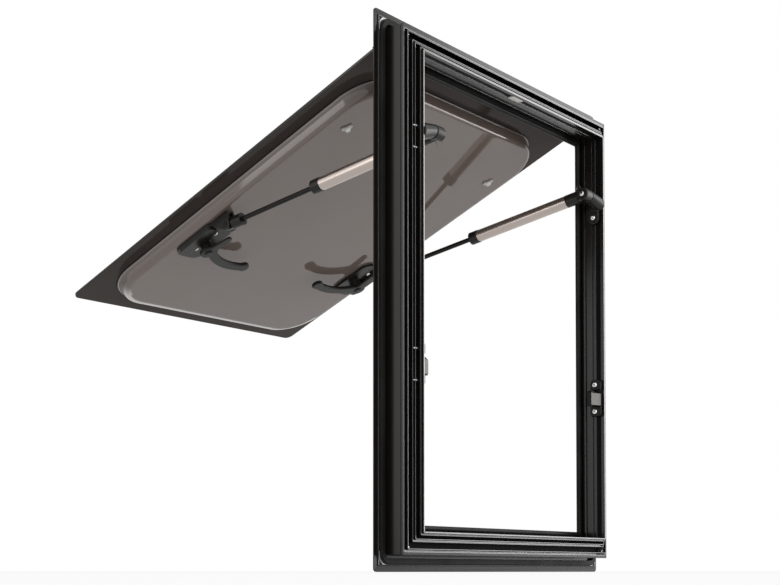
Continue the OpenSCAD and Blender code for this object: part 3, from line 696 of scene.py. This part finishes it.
screwShape = {
    # shares of radius and rise
    "profile": [(1.0, 0.0), (1.0, 0.28), (0.95, 0.5), (0.82, 0.74), (0.62, 0.9)],
    "rise": 0.62,             # head height over head radius
    "crossReach": 0.5,
    "crossWidth": 0.134,
    "crossDepth": 0.42,
    "crossTaper": 0.72,
    "segments": 24,
}
tipShape = {"segments": 20, "endShare": 0.25, "edgeShare": 0.12}


def placeAlong(edit, place, outward, turn=0):
    # turns a piece made along Z to face outward, then carries it to its place
    aim = Vector(outward).to_track_quat("Z", "Y").to_matrix().to_4x4()
    bmesh.ops.transform(edit, verts=edit.verts, matrix=Matrix.Translation(place) @ aim
                        @ Matrix.Rotation(math.radians(turn), 4, "Z"))


def screwHead(name, body, place, outward, headRadius, turn):
    # pan head with a cross recess; outward is the way its top faces
    spec = screwShape
    edit = bmesh.new()
    rise = spec["rise"] * headRadius
    rings = []
    for share, height in spec["profile"]:
        rings.append(bmesh.ops.create_circle(
            edit, cap_ends=False, segments=spec["segments"], radius=share * headRadius,
            matrix=Matrix.Translation((0, 0, height * rise)))["verts"])
    top = spec["profile"][-1][1]
    for height, shrink in ((top, 1.0), (top - spec["crossDepth"], spec["crossTaper"])):
        ring = bmesh.ops.create_circle(
            edit, cap_ends=False, segments=spec["segments"], radius=1,
            matrix=Matrix.Translation((0, 0, height * rise)))["verts"]
        for vert in ring:
            c, s = abs(vert.co.x), abs(vert.co.y)
            first = min(spec["crossReach"] / max(c, 1e-4), spec["crossWidth"] / max(s, 1e-4))
            second = min(spec["crossReach"] / max(s, 1e-4), spec["crossWidth"] / max(c, 1e-4))
            scale = max(first, second) * headRadius * shrink
            vert.co.x *= scale
            vert.co.y *= scale
        rings.append(ring)
    loops = ringEdges(edit, rings)
    bridgeAll(edit, loops)
    bmesh.ops.edgeloop_fill(edit, edges=loops[0])
    bmesh.ops.edgeloop_fill(edit, edges=loops[-1])
    bmesh.ops.recalc_face_normals(edit, faces=edit.faces)
    placeAlong(edit, place, outward, turn)
    evenShading(finishPiece(edit, name, [], "zincSteel", body))


def screwTip(name, place, outward, radius, length):
    edit = bmesh.new()
    bmesh.ops.create_cone(
        edit, cap_ends=True, segments=tipShape["segments"], radius1=radius,
        radius2=radius * tipShape["endShare"], depth=length, matrix=Matrix.Translation((0, 0, length / 2)))
    easeEdges(edit, radius * tipShape["edgeShare"])
    placeAlong(edit, place, outward)
    finishPiece(edit, name, [], "zincSteel", "frame")


screwPlaces = {
    "catchFace": 195, "catchY": -24.3, "catchZ": (196.7, 230.2), "catchHead": 3.3, "catchTurns": (15, 55),
    "jambFace": 194, "bracketY": -23.5, "bracketZ": 442, "bracketHead": 3.2, "bracketTurn": 50,
    "jambBack": 201.8, "tipY": -27.8, "tipRadius": 2.3, "tipLength": 8.5, "tipDrop": 1.2,
    "pivotFace": 158.2, "pivotY": -27, "pivotZ": 465, "pivotHead": 3.1, "pivotTurn": 35,
    "latchX": 154.5, "latchY": -24, "latchDrops": (335, 369), "latchHead": 3.1, "latchTurns": (10, 45),
}


def placeTip(label, word, side, count, z):
    # the point of a frame screw, where it comes out of the jamb
    spots = screwPlaces
    back = Vector((side * spots["jambBack"], spots["tipY"], z - spots["tipDrop"])) * mm
    screwTip("%sScrewTip%s%d" % (label, word, count + 1), back, (side, 0, 0),
             spots["tipRadius"] * mm, spots["tipLength"] * mm)


def placeScrews(word, side):
    spots = screwPlaces
    inward = (-side, 0, 0)
    for count, (z, turn) in enumerate(zip(spots["catchZ"], spots["catchTurns"])):
        place = Vector((side * spots["catchFace"], spots["catchY"], z)) * mm
        screwHead("catchScrew%s%d" % (word, count + 1), "frame", place, inward, spots["catchHead"] * mm, turn)
        placeTip("catch", word, side, count, z)
    place = Vector((side * spots["jambFace"], spots["bracketY"], spots["bracketZ"])) * mm
    screwHead("bracketScrew" + word, "frame", place, inward, spots["bracketHead"] * mm, spots["bracketTurn"])
    for count, z in enumerate((spots["bracketZ"], spots["pivotZ"])):
        placeTip("bracket", word, side, count, z)
    place = Vector((side * spots["pivotFace"], spots["pivotY"], spots["pivotZ"])) * mm
    screwHead("pivotScrew" + word, "stay_tube_" + word.lower(), place, inward,
              spots["pivotHead"] * mm, spots["pivotTurn"])
    outward = sashPlace.to_3x3() @ Vector((0, -1, 0))
    for count, (drop, turn) in enumerate(zip(spots["latchDrops"], spots["latchTurns"])):
        place = sashPlace @ (Vector((side * spots["latchX"], spots["latchY"], -drop)) * mm)
        screwHead("latchScrew%s%d" % (word, count + 1), "sash", place, outward, spots["latchHead"] * mm, turn)


for word, side in sides:
    placeScrews(word, side)
print("stage: screws")

wearAngle = {
    "height": 15, "bottom": 203.94, "thickness": 1, "legFace": 198, "legEnd": -31.7, "reach": 181.8,
    "plateFace": -27.2, "edge": 0.2,
}


def wearPiece(word, side):
    # steel angle: one leg behind the catch's block, the other along its foot
    spec = wearAngle
    far, near, t = spec["legFace"], spec["reach"], spec["thickness"]
    face = spec["plateFace"]
    outline = [(far, face + t), (far, spec["legEnd"]), (far - t, spec["legEnd"]), (far - t, face),
               (near, face), (near, face + t)]
    edit = bmesh.new()
    corners = [edit.verts.new(Vector((side * x, y, spec["bottom"])) * mm) for x, y in outline]
    base = bmesh.ops.contextual_create(edit, geom=corners)["faces"]
    up = bmesh.ops.extrude_face_region(edit, geom=base)["geom"]
    bmesh.ops.translate(edit, verts=[v for v in up if isinstance(v, bmesh.types.BMVert)],
                        vec=(0, 0, spec["height"] * mm))
    bmesh.ops.recalc_face_normals(edit, faces=edit.faces)
    easeEdges(edit, spec["edge"] * mm)
    finishPiece(edit, "wearAngle" + word, ["wear_plate_" + word.lower()], "wearSteel", smooth=False)


for word, side in sides:
    wearPiece(word, side)
print("stage: wear plates")

clipFront = {"x": -1, "y": -27.2, "size": (22, 7.4, 1.8), "seat": 0.8, "edge": 0.4}


def makeClipFront():
    # the end of the rail clip that shows under the top bar
    spec = clipFront
    inner = min(vert.co.z for vert in nodes["inner_frame_top"].data.vertices)
    edit = bmesh.new()
    size = [v * mm for v in spec["size"]]
    bmesh.ops.create_cube(edit, size=1, matrix=Matrix.Diagonal((*size, 1)))
    bmesh.ops.translate(edit, verts=edit.verts, vec=(
        spec["x"] * mm, spec["y"] * mm, inner + spec["seat"] * mm - size[2] / 2))
    easeEdges(edit, spec["edge"] * mm)
    finishPiece(edit, "railClipFront", [], "clipGrey", "frame")


plugCap = {"across": 150, "drop": 118, "face": -22.5, "radius": 3.2, "rise": 1.4}


def makePlugCap(word, side):
    # domed cap over a vent plug of the inner pane
    spec = plugCap
    edit = bmesh.new()
    bmesh.ops.create_uvsphere(edit, u_segments=20, v_segments=12, radius=spec["radius"] * mm)
    bmesh.ops.scale(edit, verts=edit.verts, vec=(1, spec["rise"] / spec["radius"], 1))
    place = Vector((side * spec["across"], spec["face"], -spec["drop"])) * mm
    bmesh.ops.translate(edit, verts=edit.verts, vec=place)
    bmesh.ops.transform(edit, verts=edit.verts, matrix=sashPlace)
    finishPiece(edit, "ventPlugCap" + word, [], "plugWhite", "sash")


makeClipFront()
for word, side in sides:
    makePlugCap(word, side)
print("stage: small parts")

bpy.context.scene.view_settings.view_transform = "Standard"
